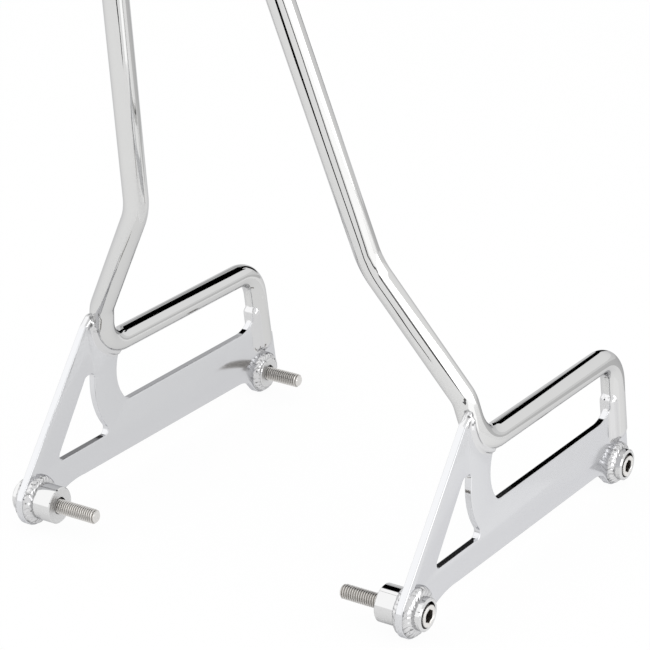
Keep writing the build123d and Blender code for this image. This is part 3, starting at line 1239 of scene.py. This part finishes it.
@dataclass
class RingWeld:
    """A hand-laid fillet bead round a bung, rippled like a stack of coins, with painted shade in
    its creases and along its edges.
    """

    plate: SidePlate
    leg: float = 4.2 * MM
    bulge: float = 0.35
    sunk: float = 0.6 * MM
    ripples: int = 23
    ripple_height: float = 0.3 * MM
    wander: float = 0.6
    wander_size: float = 8.0 * MM
    swell: float = 0.5 * MM
    swell_size: float = 6.0 * MM
    sag: float = 0.6
    # crease and toe, with the gains below, set the painted shade in the creases between ripples and
    # along the bead's edges, and the dark specks.
    crease: float = 0.3
    speck_size: float = 1.6 * MM
    speck_share: float = 0.38
    toe: float = 0.2
    fade_power: float = 0.6
    coin_power: float = 0.8
    coin_level: float = 0.65
    crease_shade_base: float = 0.5
    crease_shade_gain: float = 1.6
    speck_gain: float = 5.0
    seed_gains: tuple[float, float, float] = (31.0, 17.0, 3.0)
    rows: int = 14
    steps: int = 324
    crease_angle: float = 75.0

    def _section(self, width: float) -> list[tuple[float, float]]:
        """Cross-section of the bead.

        Args:
            width: How far it reaches over the plate from the bung's side.

        Returns:
            Points as distances from the plate's face and from the bung's side.
        """
        share = (1.0 + self.bulge) / 2.0
        middle = Vector((self.leg * share, width * share))
        toe, top = Vector((0.0, width)), Vector((self.leg, 0.0))
        arm = (toe + top) / 2.0
        points = [(-self.sunk, width)]
        for row in range(self.rows + 1):
            along = row / self.rows
            point = toe.lerp(top, along) + (middle - arm) * (4.0 * along * (1.0 - along))
            points.append((point.x, point.y))
        return [*points, (self.leg, -self.sunk), (-self.sunk, -self.sunk), points[0]]

    def build(
        self, place: BoltPlace, face: Face, side: Side, core: float, dresser: Dresser
    ) -> None:
        """Model and place one bead.

        Args:
            place: The bung it goes round.
            face: The face of the plate it lies on.
            side: The side it sits on.
            core: Radius of the bung at that face.
            dresser: Where it goes.
        """
        way = -1.0 if face is Face.INNER else 1.0
        base = self.plate.inner_x() if face is Face.INNER else self.plate.outer_x()
        width = place.weld_radius - core
        work = Workpiece()
        items = work.profile(
            Vector((base + way * out, place.y, place.z + core + wide))
            for out, wide in self._section(width)
        )
        axis_point = Vector((0.0, place.y, place.z))
        work.turn(items, axis_point, ACROSS, tau, self.steps, merge=True)
        work.join()
        gain_x, gain_y, gain_z = self.seed_gains
        seed = Vector((base * gain_x, place.y * gain_y, gain_z * way + len(side.value)))
        depth = work.bm.verts.layers.float.new("depth")
        for vert in work.bm.verts:
            spoke = Vector((0.0, vert.co.y - place.y, vert.co.z - place.z))
            out, wide = (vert.co.x - base) * way, spoke.length - core
            across = atan2(max(out, 0.0) / self.leg, max(wide, 0.0) / width) / (pi / 2)
            fade = max(0.0, sin(pi * across)) ** self.fade_power
            angle = atan2(spoke.z, spoke.y)
            phase = self.ripples * angle / tau + self.sag * sin(pi * across)
            phase += self.wander * noise.noise(vert.co / self.wander_size + seed)
            rise = abs(sin(pi * phase))
            coin = rise**self.coin_power - self.coin_level
            lump = noise.noise(vert.co / self.swell_size + seed)
            speck = noise.noise(vert.co / self.speck_size + seed) - self.speck_share
            # Painted shade: dark in the creases between ripples and along the edges where the bead
            # meets the plate and the bung, plus dark specks.
            dark = max(0.0, 1.0 - rise / self.crease)
            dark *= max(0.0, self.crease_shade_base + self.crease_shade_gain * lump)
            dark += max(0.0, self.speck_gain * speck) + self.toe * (1.0 - fade)
            vert[depth] = min(1.0, dark)
            grow = (self.ripple_height * coin + self.swell * lump) * fade
            lean = Vector((way * out / self.leg, 0.0, 0.0)) + spoke.normalized() * (wide / width)
            vert.co = vert.co + lean.normalized() * grow
        bmesh.ops.recalc_face_normals(work.bm, faces=work.bm.faces)
        if side is Side.LEFT:
            work.mirror_across()
        name = f"ring_bead_{place.end.value}_{face.value}_{side.value}"
        node = f"ring_weld_{place.end.value}_{face.value}_{side.value}"
        dresser.place(name, work.mesh(name, self.crease_angle), WELD_CHROME, Slot.WELD, node)


@dataclass
class JointWeld:
    """Weld metal that joins the bar to a plate, melted into both with a smooth hollow."""

    plate: SidePlate
    post_bead: float = 2.0 * MM
    heel_bead: float = 3.0 * MM
    leg_bead: float = 3.6 * MM
    overrun: float = 1.7 * MM
    leg_rise: float = 14.0 * MM
    skin: float = 0.06 * MM
    reach: float = 24.0 * MM
    post_floor: float = 60.0 * MM
    nose: float = 8.0 * MM
    voxel: float = 0.5 * MM
    post_smoothing: int = 12
    leg_smoothing: int = 36
    segments: int = 32
    bend_steps: int = 16
    run_step: float = 4.0 * MM
    ball_steps: int = 3
    bar_segments: int = 64
    bar_bend_steps: int = 24
    nose_rings: int = 32
    ear_drop: float = 18.0 * MM
    leg_beyond: float = 12.0 * MM
    smooth_factor: float = 0.5
    lump: float = 0.14 * MM
    lump_size: float = 8.0 * MM
    speck_size: float = 2.4 * MM
    speck_zone: float = 7.0 * MM
    speck_level: float = 0.12
    speck_gain: float = 7.0
    speck_sink: float = 2.0
    seam_weight: float = 1.5

    def _ball(self, work: Workpiece, centre: Vector, radius: float) -> None:
        """Add a round end to a bead."""
        bmesh.ops.create_icosphere(
            work.bm, subdivisions=self.ball_steps, radius=radius, matrix=Matrix.Translation(centre)
        )

    def _bead(
        self, work: Workpiece, points: list[Vector], radii: list[float], radius: float
    ) -> None:
        """Add a capped bead along a route, with round ends.

        Args:
            work: The mesh to add to.
            points: The route's points.
            radii: Radii of the route's bends.
            radius: The bead's radius.
        """
        Route(points, radii).sweep(work, radius, self.segments, self.bend_steps, self.run_step)
        self._ball(work, points[0], radius)
        self._ball(work, points[-1], radius)

    def _patch(self, work: Workpiece, cuts: tuple[tuple[Vector, Vector], ...]) -> None:
        """Add the part of the plate that lies near the joint, a little under the plate's own faces.

        Args:
            work: The mesh to start from, still empty.
            cuts: Planes, each a point and a direction in which the plate is cut away.
        """
        self.plate.slab(work, self.skin)
        for point, away in cuts:
            work.trim(point, away)

    def chord_half(self) -> float:
        """Distance from the bar's centreline to where its side meets the plate's face."""
        return sqrt(self.plate.hoop.bar_radius**2 - (self.plate.thickness / 2) ** 2)

    def post_joint(self, work: Workpiece) -> None:
        """Gather the bar's rear bend, the top of the post and the beads between them.

        Args:
            work: An empty mesh to gather them in.
        """
        plate, hoop, chord = self.plate, self.plate.hoop, self.chord_half()
        front = FORWARD * (hoop.rail_rear_y + self.reach)
        self._patch(work, ((UP * self.post_floor, -UP), (front, FORWARD)))
        corner = hoop.rail_rear()
        rise = hoop.flare() - corner
        ends = corner + FORWARD * self.reach, corner + rise.normalized() * self.reach
        bar = Route([ends[0], corner, ends[1]], [hoop.bend_radii[1]])
        slim = hoop.bar_radius - self.skin
        bar.sweep(work, slim, self.bar_segments, self.bar_bend_steps, self.run_step)
        corner_y = hoop.rail_rear_y - chord * tan(rise.angle(-FORWARD) / 2)
        low_z, top_z = hoop.rail_height - chord, plate.post_top_z()
        top_y = corner_y + hoop.flare_lean() * (plate.post_rise + chord)
        bend = hoop.bend_radii[1] + chord
        end_y = plate.arc_y - sqrt(plate.arc_radius**2 - (low_z - plate.arc_z()) ** 2)
        beads = Workpiece()
        for x in (plate.inner_x(), plate.outer_x()):
            line = ((plate.arc_y, low_z), (corner_y, low_z), (top_y, top_z))
            self._bead(beads, [Vector((x, y, z)) for y, z in line], [bend], self.post_bead)
        beads.trim(FORWARD * end_y, FORWARD)
        work.take(beads)
        heel_y = plate.post_rear_y(top_z) + self.overrun
        heel = Vector((hoop.half_width, heel_y, top_z - self.overrun))
        crown = Vector((hoop.half_width, top_y, top_z + self.heel_bead))
        self._bead(work, [heel, crown], [], self.heel_bead)

    def leg_joint(self, work: Workpiece) -> None:
        """Gather the front leg, the plate's ear and the weld behind and under the leg.

        Args:
            work: An empty mesh to gather them in.
        """
        plate, hoop, chord = self.plate, self.plate.hoop, self.chord_half()
        foot = hoop.leg_foot()
        up = Vector((0.0, -sin(hoop.leg_rake), cos(hoop.leg_rake)))
        back = Vector((0.0, -cos(hoop.leg_rake), -sin(hoop.leg_rake)))
        low = UP * (hoop.leg_foot_z - self.ear_drop)
        self._patch(work, ((low, -UP), (foot + back * self.reach, back)))
        climb = (plate.floor_z + self.leg_rise - hoop.leg_foot_z) / cos(hoop.leg_rake)
        top = foot + up * (climb + self.leg_beyond)
        slim = hoop.bar_radius - self.skin
        Route([foot, top], []).sweep(work, slim, self.bar_segments, 1, self.run_step)
        stretch = Matrix.Diagonal((slim, slim, self.nose, 1.0))
        turn = up.to_track_quat("Z", "Y").to_matrix().to_4x4()
        bmesh.ops.create_uvsphere(
            work.bm,
            u_segments=self.bar_segments,
            v_segments=self.nose_rings,
            radius=1.0,
            matrix=Matrix.Translation(foot) @ turn @ stretch,
        )
        for x in (plate.inner_x(), plate.outer_x()):
            heel = Vector((x, foot.y, foot.z)) + back * chord
            self._bead(work, [heel + up * climb, heel], [], self.leg_bead)

    def _painted_pit_shade(self, point: Vector) -> float:
        """Say how much painted shade a point of the weld gets in its pits: there are pits only
        round the post's top, at its seam.

        Args:
            point: A point of the weld's skin.

        Returns:
            0 away from the pits, and up to 1 where the painted shade is darkest.
        """
        plate, hoop = self.plate, self.plate.hoop
        height = abs(point.z - plate.post_top_z())
        seam = hoop.rail_rear_y + hoop.flare_lean() * (point.z - hoop.rail_height) - hoop.bar_radius
        away = max(height, self.seam_weight * abs(point.y - seam)) / self.speck_zone
        pit_shade = max(0.0, noise.noise(point / self.speck_size) - self.speck_level)
        return min(1.0, self.speck_gain * pit_shade * max(0.0, 1.0 - away))

    def _melt(self, work: Workpiece, name: str, smoothing: int) -> bpy.types.Mesh:
        """Fuse what was gathered into one skin and smooth it, so that the corners fill.

        Args:
            work: The gathered shapes.
            name: Name for the mesh.
            smoothing: Number of smoothing passes.

        Returns:
            The finished mesh.
        """
        raw = bpy.data.objects.new("raw_joint", work.mesh("raw_joint", NO_CREASE))
        bpy.context.scene.collection.objects.link(raw)
        fuse = raw.modifiers.new("fuse", "REMESH")
        fuse.mode = "VOXEL"
        fuse.voxel_size = self.voxel
        graph = bpy.context.evaluated_depsgraph_get()
        fused = bpy.data.meshes.new_from_object(raw.evaluated_get(graph))
        bpy.data.objects.remove(raw)
        skin = Workpiece()
        skin.bm.from_mesh(fused)
        bpy.data.meshes.remove(fused)
        for _ in range(smoothing):
            bmesh.ops.smooth_vert(
                skin.bm,
                verts=skin.bm.verts,
                factor=self.smooth_factor,
                use_axis_x=True,
                use_axis_y=True,
                use_axis_z=True,
            )
        skin.bm.normal_update()
        depth = skin.bm.verts.layers.float.new("depth")
        for vert in skin.bm.verts:
            # Painted shade in the pits; the pits are also sunk into the skin below.
            vert[depth] = self._painted_pit_shade(vert.co)
            lump = min(0.0, noise.noise(vert.co / self.lump_size)) - self.speck_sink * vert[depth]
            vert.co = vert.co + vert.normal * (self.lump * lump)
        for face in skin.bm.faces:
            face.smooth = True
        return skin.mesh(name, NO_CREASE)

    def build(self, side: Side, dresser: Dresser) -> None:
        """Model and place the post's and the leg's weld on one side.

        Args:
            side: The side they sit on.
            dresser: Where they go.
        """
        joints = (
            ("post", self.post_joint, self.post_smoothing),
            ("leg", self.leg_joint, self.leg_smoothing),
        )
        for kind, gather, smoothing in joints:
            work = Workpiece()
            gather(work)
            if side is Side.LEFT:
                work.mirror_across()
            mesh = self._melt(work, f"{kind}_bead_{side.value}", smoothing)
            dresser.place(mesh.name, mesh, WELD_CHROME, Slot.WELD, f"{kind}_weld_{side.value}")


@dataclass(frozen=True)
class PhotoCamera:
    """The camera from which the object is seen, solved from its straight lines and symmetry."""

    position: tuple[float, float, float] = (0.88841, -1.30979, 0.7808)
    azimuth: float = radians(31.82)
    elevation: float = radians(21.73)
    roll: float = radians(0.86)
    focal: float = 2862.55
    centre: tuple[float, float] = (324.74, 326.05)
    frame: int = 650
    sensor: float = 36.0
    far_clip: float = 50.0

    def build(self) -> None:
        """Add the camera and make it the scene's."""
        back = Vector(
            (
                sin(self.azimuth) * cos(self.elevation),
                -cos(self.azimuth) * cos(self.elevation),
                sin(self.elevation),
            )
        )
        level = UP.cross(back).normalized()
        upright = back.cross(level)
        right = level * cos(self.roll) + upright * sin(self.roll)
        up = upright * cos(self.roll) - level * sin(self.roll)
        data = bpy.data.cameras.new("photo_camera")
        data.sensor_width = self.sensor
        data.lens = self.focal / self.frame * self.sensor
        data.shift_x = (self.frame / 2 - self.centre[0]) / self.frame
        data.shift_y = (self.centre[1] - self.frame / 2) / self.frame
        data.clip_end = self.far_clip
        camera = bpy.data.objects.new("photo_camera", data)
        bpy.context.scene.collection.objects.link(camera)
        turn = Matrix((right, up, back)).transposed()
        camera.matrix_world = Matrix.Translation(self.position) @ turn.to_4x4()
        bpy.context.scene.camera = camera


def stage_panel(name: str, mesh: bpy.types.Mesh, level: float) -> None:
    """Put a panel on the stage that only reflections see.

    Args:
        name: Name of the panel.
        mesh: Its mesh.
        level: How bright it glows, 0 for black.
    """
    material = bpy.data.materials.new(name)
    material.use_nodes = True
    nodes, links = material.node_tree.nodes, material.node_tree.links
    nodes.remove(nodes["Principled BSDF"])
    glow = nodes.new("ShaderNodeEmission")
    glow.inputs["Color"].default_value = WHITE
    glow.inputs["Strength"].default_value = level
    links.new(glow.outputs["Emission"], nodes["Material Output"].inputs["Surface"])
    mesh.materials.append(material)
    panel = bpy.data.objects.new(name, mesh)
    bpy.context.scene.collection.objects.link(panel)
    panel.visible_camera = False
    panel.visible_diffuse = False
    panel.visible_shadow = False
    panel.visible_transmission = False
    panel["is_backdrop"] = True


@dataclass(frozen=True)
class Card:
    """A flat panel that only reflections see: a dark flag, a bounce card or a grey shade."""

    name: str
    corners: tuple[tuple[float, float, float], ...]
    level: float

    @classmethod
    def upright(cls, name: str, level: float, y: float, *corners: tuple[float, float]) -> Card:
        """Stand a panel across the view's depth.

        Args:
            name: Name of the panel.
            level: How bright it glows, 0 for black.
            y: Where it stands.
            corners: X and Z of its corners, in order.

        Returns:
            The panel.
        """
        return cls(name, tuple((x, y, z) for x, z in corners), level)

    @classmethod
    def lying(cls, name: str, level: float, z: float, *corners: tuple[float, float]) -> Card:
        """Lay a panel flat.

        Args:
            name: Name of the panel.
            level: How bright it glows, 0 for black.
            z: How high it lies.
            corners: X and Y of its corners, in order.

        Returns:
            The panel.
        """
        return cls(name, tuple((x, y, z) for x, y in corners), level)

    def build(self) -> None:
        """Add the panel to the stage."""
        work = Workpiece()
        work.profile(Vector(corner) for corner in (*self.corners, self.corners[0]))
        work.join()
        work.close(list(work.bm.edges))
        stage_panel(self.name, work.mesh(self.name, PANEL_CREASE), self.level)


@dataclass(frozen=True)
class Ribbon:
    """A bent band between two lines that only reflections see."""

    name: str
    left: tuple[tuple[float, float, float], ...]
    right: tuple[tuple[float, float, float], ...]
    level: float

    def build(self) -> None:
        """Add the band to the stage."""
        work = Workpiece()
        lines = [work.profile(Vector(point) for point in line) for line in (self.left, self.right)]
        edges = [item for line in lines for item in line if isinstance(item, BMEdge)]
        bmesh.ops.bridge_loops(work.bm, edges=edges)
        stage_panel(self.name, work.mesh(self.name, PANEL_CREASE), self.level)


@dataclass(frozen=True)
class Softbox:
    """A rectangular soft lamp."""

    name: str
    centre: tuple[float, float, float]
    target: tuple[float, float, float]
    width: float
    height: float
    level: float

    def build(self) -> None:
        """Add the lamp at the power that gives its face the wanted level."""
        data = bpy.data.lights.new(self.name, "AREA")
        data.shape = "RECTANGLE"
        data.size = self.width
        data.size_y = self.height
        data.energy = self.level * pi * self.width * self.height
        lamp = bpy.data.objects.new(self.name, data)
        bpy.context.scene.collection.objects.link(lamp)
        facing = Vector(self.target) - Vector(self.centre)
        turn = facing.to_track_quat("-Z", "Y").to_matrix().to_4x4()
        lamp.matrix_world = Matrix.Translation(self.centre) @ turn
        lamp.visible_camera = False


@dataclass
class Studio:
    """A white sweep with soft lamps, and the panels that draw lines and tones in the chrome."""

    floor_z: float
    floor_reach: float = 6.0
    floor_segments: int = 64
    floor_white: float = 0.85
    camera_glow: float = 0.95
    mirror_glow: float = 0.3
    fill: float = 1.03
    cards: tuple[Card, ...] = (
        Card.upright(
            "flag_front", 0.0, 1.15,
            (-0.42, 0.02), (-0.14, 0.02), (-0.13, 0.3), (-0.19, 0.45), (-0.14, 0.6), (-0.05, 0.72),
            (0.11, 0.83), (0.15, 1.0), (-1.2, 3.3), (-2.3, 3.2), (-1.97, 2.5), (-1.43, 1.6),
            (-1.22, 1.38), (-1.05, 1.15), (-0.84, 0.82), (-0.66, 0.7), (-0.38, 0.66), (-0.41, 0.5),
            (-0.43, 0.35),
        ),
        Card.upright(
            "flag_rail", 0.0, 0.6,
            (-0.1, 0.25), (-0.05, 0.28), (-0.003, 0.37), (-0.008, 0.408), (-0.018, 0.464),
            (-0.026, 0.49), (-0.1, 0.5),
        ),
        Card.upright(
            "flag_cutouts", 0.02, 1.14,
            (-0.39, 0.525), (-0.39, 0.57), (-0.436, 0.585), (-0.436, 0.7), (-0.484, 0.7),
            (-0.484, 0.555), (-0.44, 0.53),
        ),
        Card.upright(
            "flag_triangle", 0.3, 1.155,
            (-0.955, 0.56), (-0.955, 0.684), (-1.005, 0.684), (-1.005, 0.56),
        ),
        Card.upright(
            "flag_triangle_end", 0.02, 1.155,
            (-0.955, 0.684), (-0.955, 0.72), (-1.005, 0.72), (-1.005, 0.684),
        ),
        Card(
            "flag_spacer",
            (
                (0.7, 0.62, 1.21), (0.9, 0.62, 1.21), (0.9, 0.82, 1.01), (0.7, 0.82, 1.01),
            ),
            0.0,
        ),
        Card.upright(
            "flag_front_low", 0.55, 1.16,
            (-0.95, 0.42), (-0.62, 0.42), (-0.62, 0.57), (-0.95, 0.61),
        ),
        Card.upright(
            "flag_front_soft", 0.68, 1.17,
            (-1.0, 0.3), (-0.3, 0.3), (-0.3, 0.72), (-0.9, 1.2), (-1.15, 1.6), (-1.45, 1.6),
            (-1.25, 1.1),
        ),
        Card.lying(
            "flag_right", 0.08, -0.0162,
            (0.62, -0.44), (0.72, -0.58), (1.1, -1.0), (1.6, -1.2), (1.4, -0.8), (1.0, -0.56),
            (0.7, -0.4),
        ),
        Card.lying(
            "bounce_right", 1.4, -0.0164,
            (0.2, -0.04), (0.5, -0.14), (0.86, -0.29), (1.06, -0.29), (1.06, 0.5), (0.75, 0.2),
            (0.4, 0.08), (0.26, 0.06),
        ),
        Card.lying(
            "bounce_plate_low", 1.02, -0.0168,
            (0.146, -0.03), (0.182, -0.03), (0.182, 0.38), (0.146, 0.38),
        ),
        Card.lying(
            "bounce_plate", 1.06, -0.0168,
            (0.182, -0.03), (0.31, -0.03), (0.31, 0.26), (0.182, 0.26),
        ),
        Card.lying(
            "bounce_plate_front", 1.0, -0.0168,
            (0.182, 0.26), (0.31, 0.26), (0.31, 0.4), (0.182, 0.4),
        ),
        Card.lying(
            "shade_plate_left", 0.907, -0.0168,
            (-0.135, -0.02), (0.0, -0.02), (0.0, 0.42), (-0.135, 0.42),
        ),
        Card.lying(
            "shade_front", 0.68, -0.0164,
            (0.1, 0.44), (0.31, 0.4), (0.38, 0.44), (0.75, 0.8), (1.3, 1.5), (0.2, 1.5),
            (-0.12, 1.1), (-0.12, 0.85), (0.05, 0.65),
        ),
        Card.upright(
            "shade_horizon", 0.86, 1.6,
            (-0.2, -0.016), (2.6, -0.016), (2.6, 0.28), (-0.2, 0.28),
        ),
    )
    ribbons: tuple[Ribbon, ...] = (
        Ribbon(
            "flag_rear",
            (
                (0.06, -0.21, 0.22), (0.052, -0.2, 0.193), (0.042, -0.18, 0.153),
                (0.055, -0.171, 0.127), (0.064, -0.156, 0.093), (0.082, -0.142, 0.059),
                (0.096, -0.13, 0.028), (0.09, -0.14, 0.01), (0.094, -0.134, -0.007),
                (0.125, -0.13, -0.012),
            ),
            (
                (0.13, -0.21, 0.23), (0.12, -0.2, 0.203), (0.112, -0.186, 0.162),
                (0.105, -0.174, 0.133), (0.1, -0.16, 0.097), (0.11, -0.146, 0.062),
                (0.127, -0.132, 0.033), (0.122, -0.153, 0.026), (0.121, -0.144, 0.005),
                (0.142, -0.137, -0.006),
            ),
            0.0,
        ),
        Ribbon(
            "line_right",
            (
                (0.24, -0.144, -0.0162), (0.294, -0.163, -0.0162), (0.35, -0.183, -0.0162),
                (0.391, -0.217, -0.0162), (0.437, -0.252, -0.0162), (0.506, -0.278, -0.0162),
                (0.598, -0.299, -0.0162), (0.644, -0.338, -0.0162), (0.718, -0.436, -0.0162),
            ),
            (
                (0.284, -0.126, -0.0162), (0.346, -0.141, -0.0162), (0.41, -0.158, -0.0162),
                (0.459, -0.189, -0.0162), (0.513, -0.22, -0.0162), (0.594, -0.242, -0.0162),
                (0.702, -0.256, -0.0162), (0.756, -0.292, -0.0162), (0.842, -0.384, -0.0162),
            ),
            0.14,
        ),
    )
    lamps: tuple[Softbox, ...] = (
        Softbox("softbox_right", (1.05, 0.1, 0.22), (0.0, 0.1, 0.1), 1.25, 0.46, 1.7),
        Softbox("softbox_top", (-0.76, -0.49, 1.25), (0.04, 0.31, 0.45), 2.6, 3.5, 0.34),
    )

    def _floor(self) -> None:
        """Lay the pale floor, which glows to the camera and in the chrome but keeps a shadow."""
        work = Workpiece()
        bmesh.ops.create_circle(
            work.bm,
            cap_ends=True,
            segments=self.floor_segments,
            radius=self.floor_reach,
            matrix=Matrix.Translation((0.0, 0.0, self.floor_z)),
        )
        mesh = work.mesh("floor", PANEL_CREASE)
        material = bpy.data.materials.new("floor_white")
        material.use_nodes = True
        nodes, links = material.node_tree.nodes, material.node_tree.links
        nodes.remove(nodes["Principled BSDF"])
        path = nodes.new("ShaderNodeLightPath")
        share = nodes.new("ShaderNodeMapRange")
        share.inputs["To Max"].default_value = self.mirror_glow
        links.new(self._seen(nodes, links, path), share.inputs["Value"])
        direct = nodes.new("ShaderNodeMath")
        direct.operation = "MULTIPLY_ADD"
        direct.inputs[1].default_value = self.camera_glow - self.mirror_glow
        links.new(path.outputs["Is Camera Ray"], direct.inputs[0])
        links.new(share.outputs["Result"], direct.inputs[2])
        matt = nodes.new("ShaderNodeBsdfDiffuse")
        matt.inputs["Color"].default_value = (self.floor_white,) * 3 + (1.0,)
        glow = nodes.new("ShaderNodeEmission")
        glow.inputs["Strength"].default_value = 1.0
        mix = nodes.new("ShaderNodeMixShader")
        links.new(direct.outputs["Value"], mix.inputs["Fac"])
        links.new(matt.outputs["BSDF"], mix.inputs[1])
        links.new(glow.outputs["Emission"], mix.inputs[2])
        links.new(mix.outputs["Shader"], nodes["Material Output"].inputs["Surface"])
        mesh.materials.append(material)
        floor = bpy.data.objects.new("floor", mesh)
        bpy.context.scene.collection.objects.link(floor)
        floor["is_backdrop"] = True

    @staticmethod
    def _seen(
        nodes: bpy.types.Nodes, links: bpy.types.NodeLinks, path: bpy.types.Node
    ) -> bpy.types.NodeSocket:
        """Add up the rays that show the background: straight, mirrored and through glass.

        Args:
            nodes: The node tree's nodes.
            links: Its links.
            path: Its Light Path node.

        Returns:
            A socket that is 1 for such a ray.
        """
        total = path.outputs["Is Camera Ray"]
        for ray in ("Is Glossy Ray", "Is Transmission Ray"):
            add = nodes.new("ShaderNodeMath")
            add.operation = "ADD"
            add.use_clamp = True
            links.new(total, add.inputs[0])
            links.new(path.outputs[ray], add.inputs[1])
            total = add.outputs["Value"]
        return total

    def _world(self) -> None:
        """Surround the object with white, at a lower level where it only lights surfaces."""
        world = bpy.data.worlds.new("white_surround")
        bpy.context.scene.world = world
        world.use_nodes = True
        nodes, links = world.node_tree.nodes, world.node_tree.links
        shown = nodes["Background"]
        shown.inputs["Color"].default_value = WHITE
        shown.inputs["Strength"].default_value = 1.0
        light = nodes.new("ShaderNodeBackground")
        light.inputs["Color"].default_value = WHITE
        light.inputs["Strength"].default_value = self.fill
        path = nodes.new("ShaderNodeLightPath")
        mix = nodes.new("ShaderNodeMixShader")
        links.new(self._seen(nodes, links, path), mix.inputs["Fac"])
        links.new(light.outputs["Background"], mix.inputs[1])
        links.new(shown.outputs["Background"], mix.inputs[2])
        links.new(mix.outputs["Shader"], nodes["World Output"].inputs["Surface"])

    def build(self) -> None:
        """Set up the floor, the surround, the panels and the lamps."""
        bpy.context.scene.view_settings.view_transform = "Standard"
        self._floor()
        self._world()
        for item in (*self.cards, *self.ribbons, *self.lamps):
            item.build()


@dataclass
class SissyBar:
    """The whole object: the hoop, two side plates and what is welded and screwed to them."""

    hoop: Hoop = field(default_factory=Hoop)

    def build(self) -> None:
        """Model and place every piece."""
        dresser = Dresser()
        plate = SidePlate(self.hoop)
        bung = Bung(plate)
        screw = Screw(bung)
        ring = RingWeld(plate)
        joint = JointWeld(plate)
        rear = BoltPlace(
            End.REAR,
            *plate.rear_bolt,
            inner_radius=12.0 * MM,
            inner_length=17.5 * MM,
            screw_length=50.8 * MM,
            weld_radius=16.2 * MM,
        )
        front = BoltPlace(
            End.FRONT,
            *plate.front_bolt,
            inner_radius=10.5 * MM,
            inner_length=5.0 * MM,
            screw_length=34.9 * MM,
            weld_radius=14.2 * MM,
        )
        self.hoop.build(dresser)
        for side in Side:
            plate.build(side, dresser)
            joint.build(side, dresser)
            for place in (rear, front):
                bung.build(place, side, dresser)
                screw.build(place, side, dresser)
                ring.build(place, Face.INNER, side, place.inner_radius, dresser)
                ring.build(place, Face.OUTER, side, bung.boss_radius, dresser)


def clear_scene() -> None:
    """Remove whatever the empty file starts with."""
    for thing in list(bpy.data.objects):
        bpy.data.objects.remove(thing)


def main() -> None:
    """Load the frame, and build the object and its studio."""
    logging.basicConfig(level=logging.INFO, format="%(name)s %(message)s")
    clear_scene()
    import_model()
    cad_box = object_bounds()
    SissyBar().build()
    Studio(cad_box[0][2]).build()
    PhotoCamera().build()


if __name__ == "__main__":
    main()
